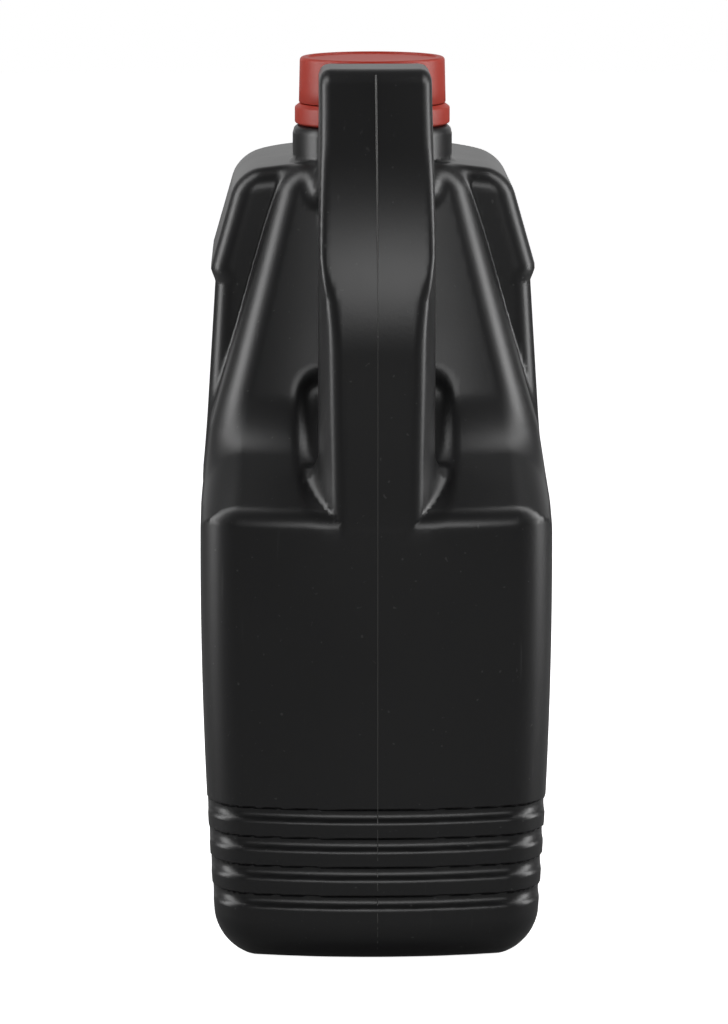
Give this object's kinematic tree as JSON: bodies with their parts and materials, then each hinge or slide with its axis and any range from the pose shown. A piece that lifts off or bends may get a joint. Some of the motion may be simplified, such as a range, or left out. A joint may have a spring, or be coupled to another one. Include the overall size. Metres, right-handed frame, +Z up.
{
  "type": "motor oil bottle",
  "caption": "Black blow-moulded motor oil jug with a hollow handle, a sloping back, a grooved end and a red screw cap over a tamper ring.",
  "frame": {"origin": "middle of the foot's bounding box, on the surface that the jug stands on", "axes": "+X across the wide side faces, +Y from the handle end to the front, +Z up"},
  "size_m": [0.1242, 0.192, 0.3135],
  "materials": {
    "bottle_black": "satin",
    "cap_red": "satin",
    "liner_white": "satin"
  },
  "bodies": {
    "jug": {"bottle": "bottle_black", "tamper_ring": "cap_red"},
    "liner": {"cap_liner": "liner_white"},
    "cap": {"cap": "cap_red"}
  },
  "joints": [
    {"name": "cap_lift", "type": "slide", "parent": "jug", "child": "liner", "axis": [0, 0, 1], "range_m": [0, 0.0152]},
    {"name": "cap_turn", "type": "hinge", "parent": "liner", "child": "cap", "pos_m": [0, 0.007, 0.305], "axis": [0, 0, 1], "range_deg": [0, 1080]}
  ],
  "couplings": [
    {"joint": "cap_lift", "follows": "cap_turn", "m_per_rad": 0.00079577}
  ]
}
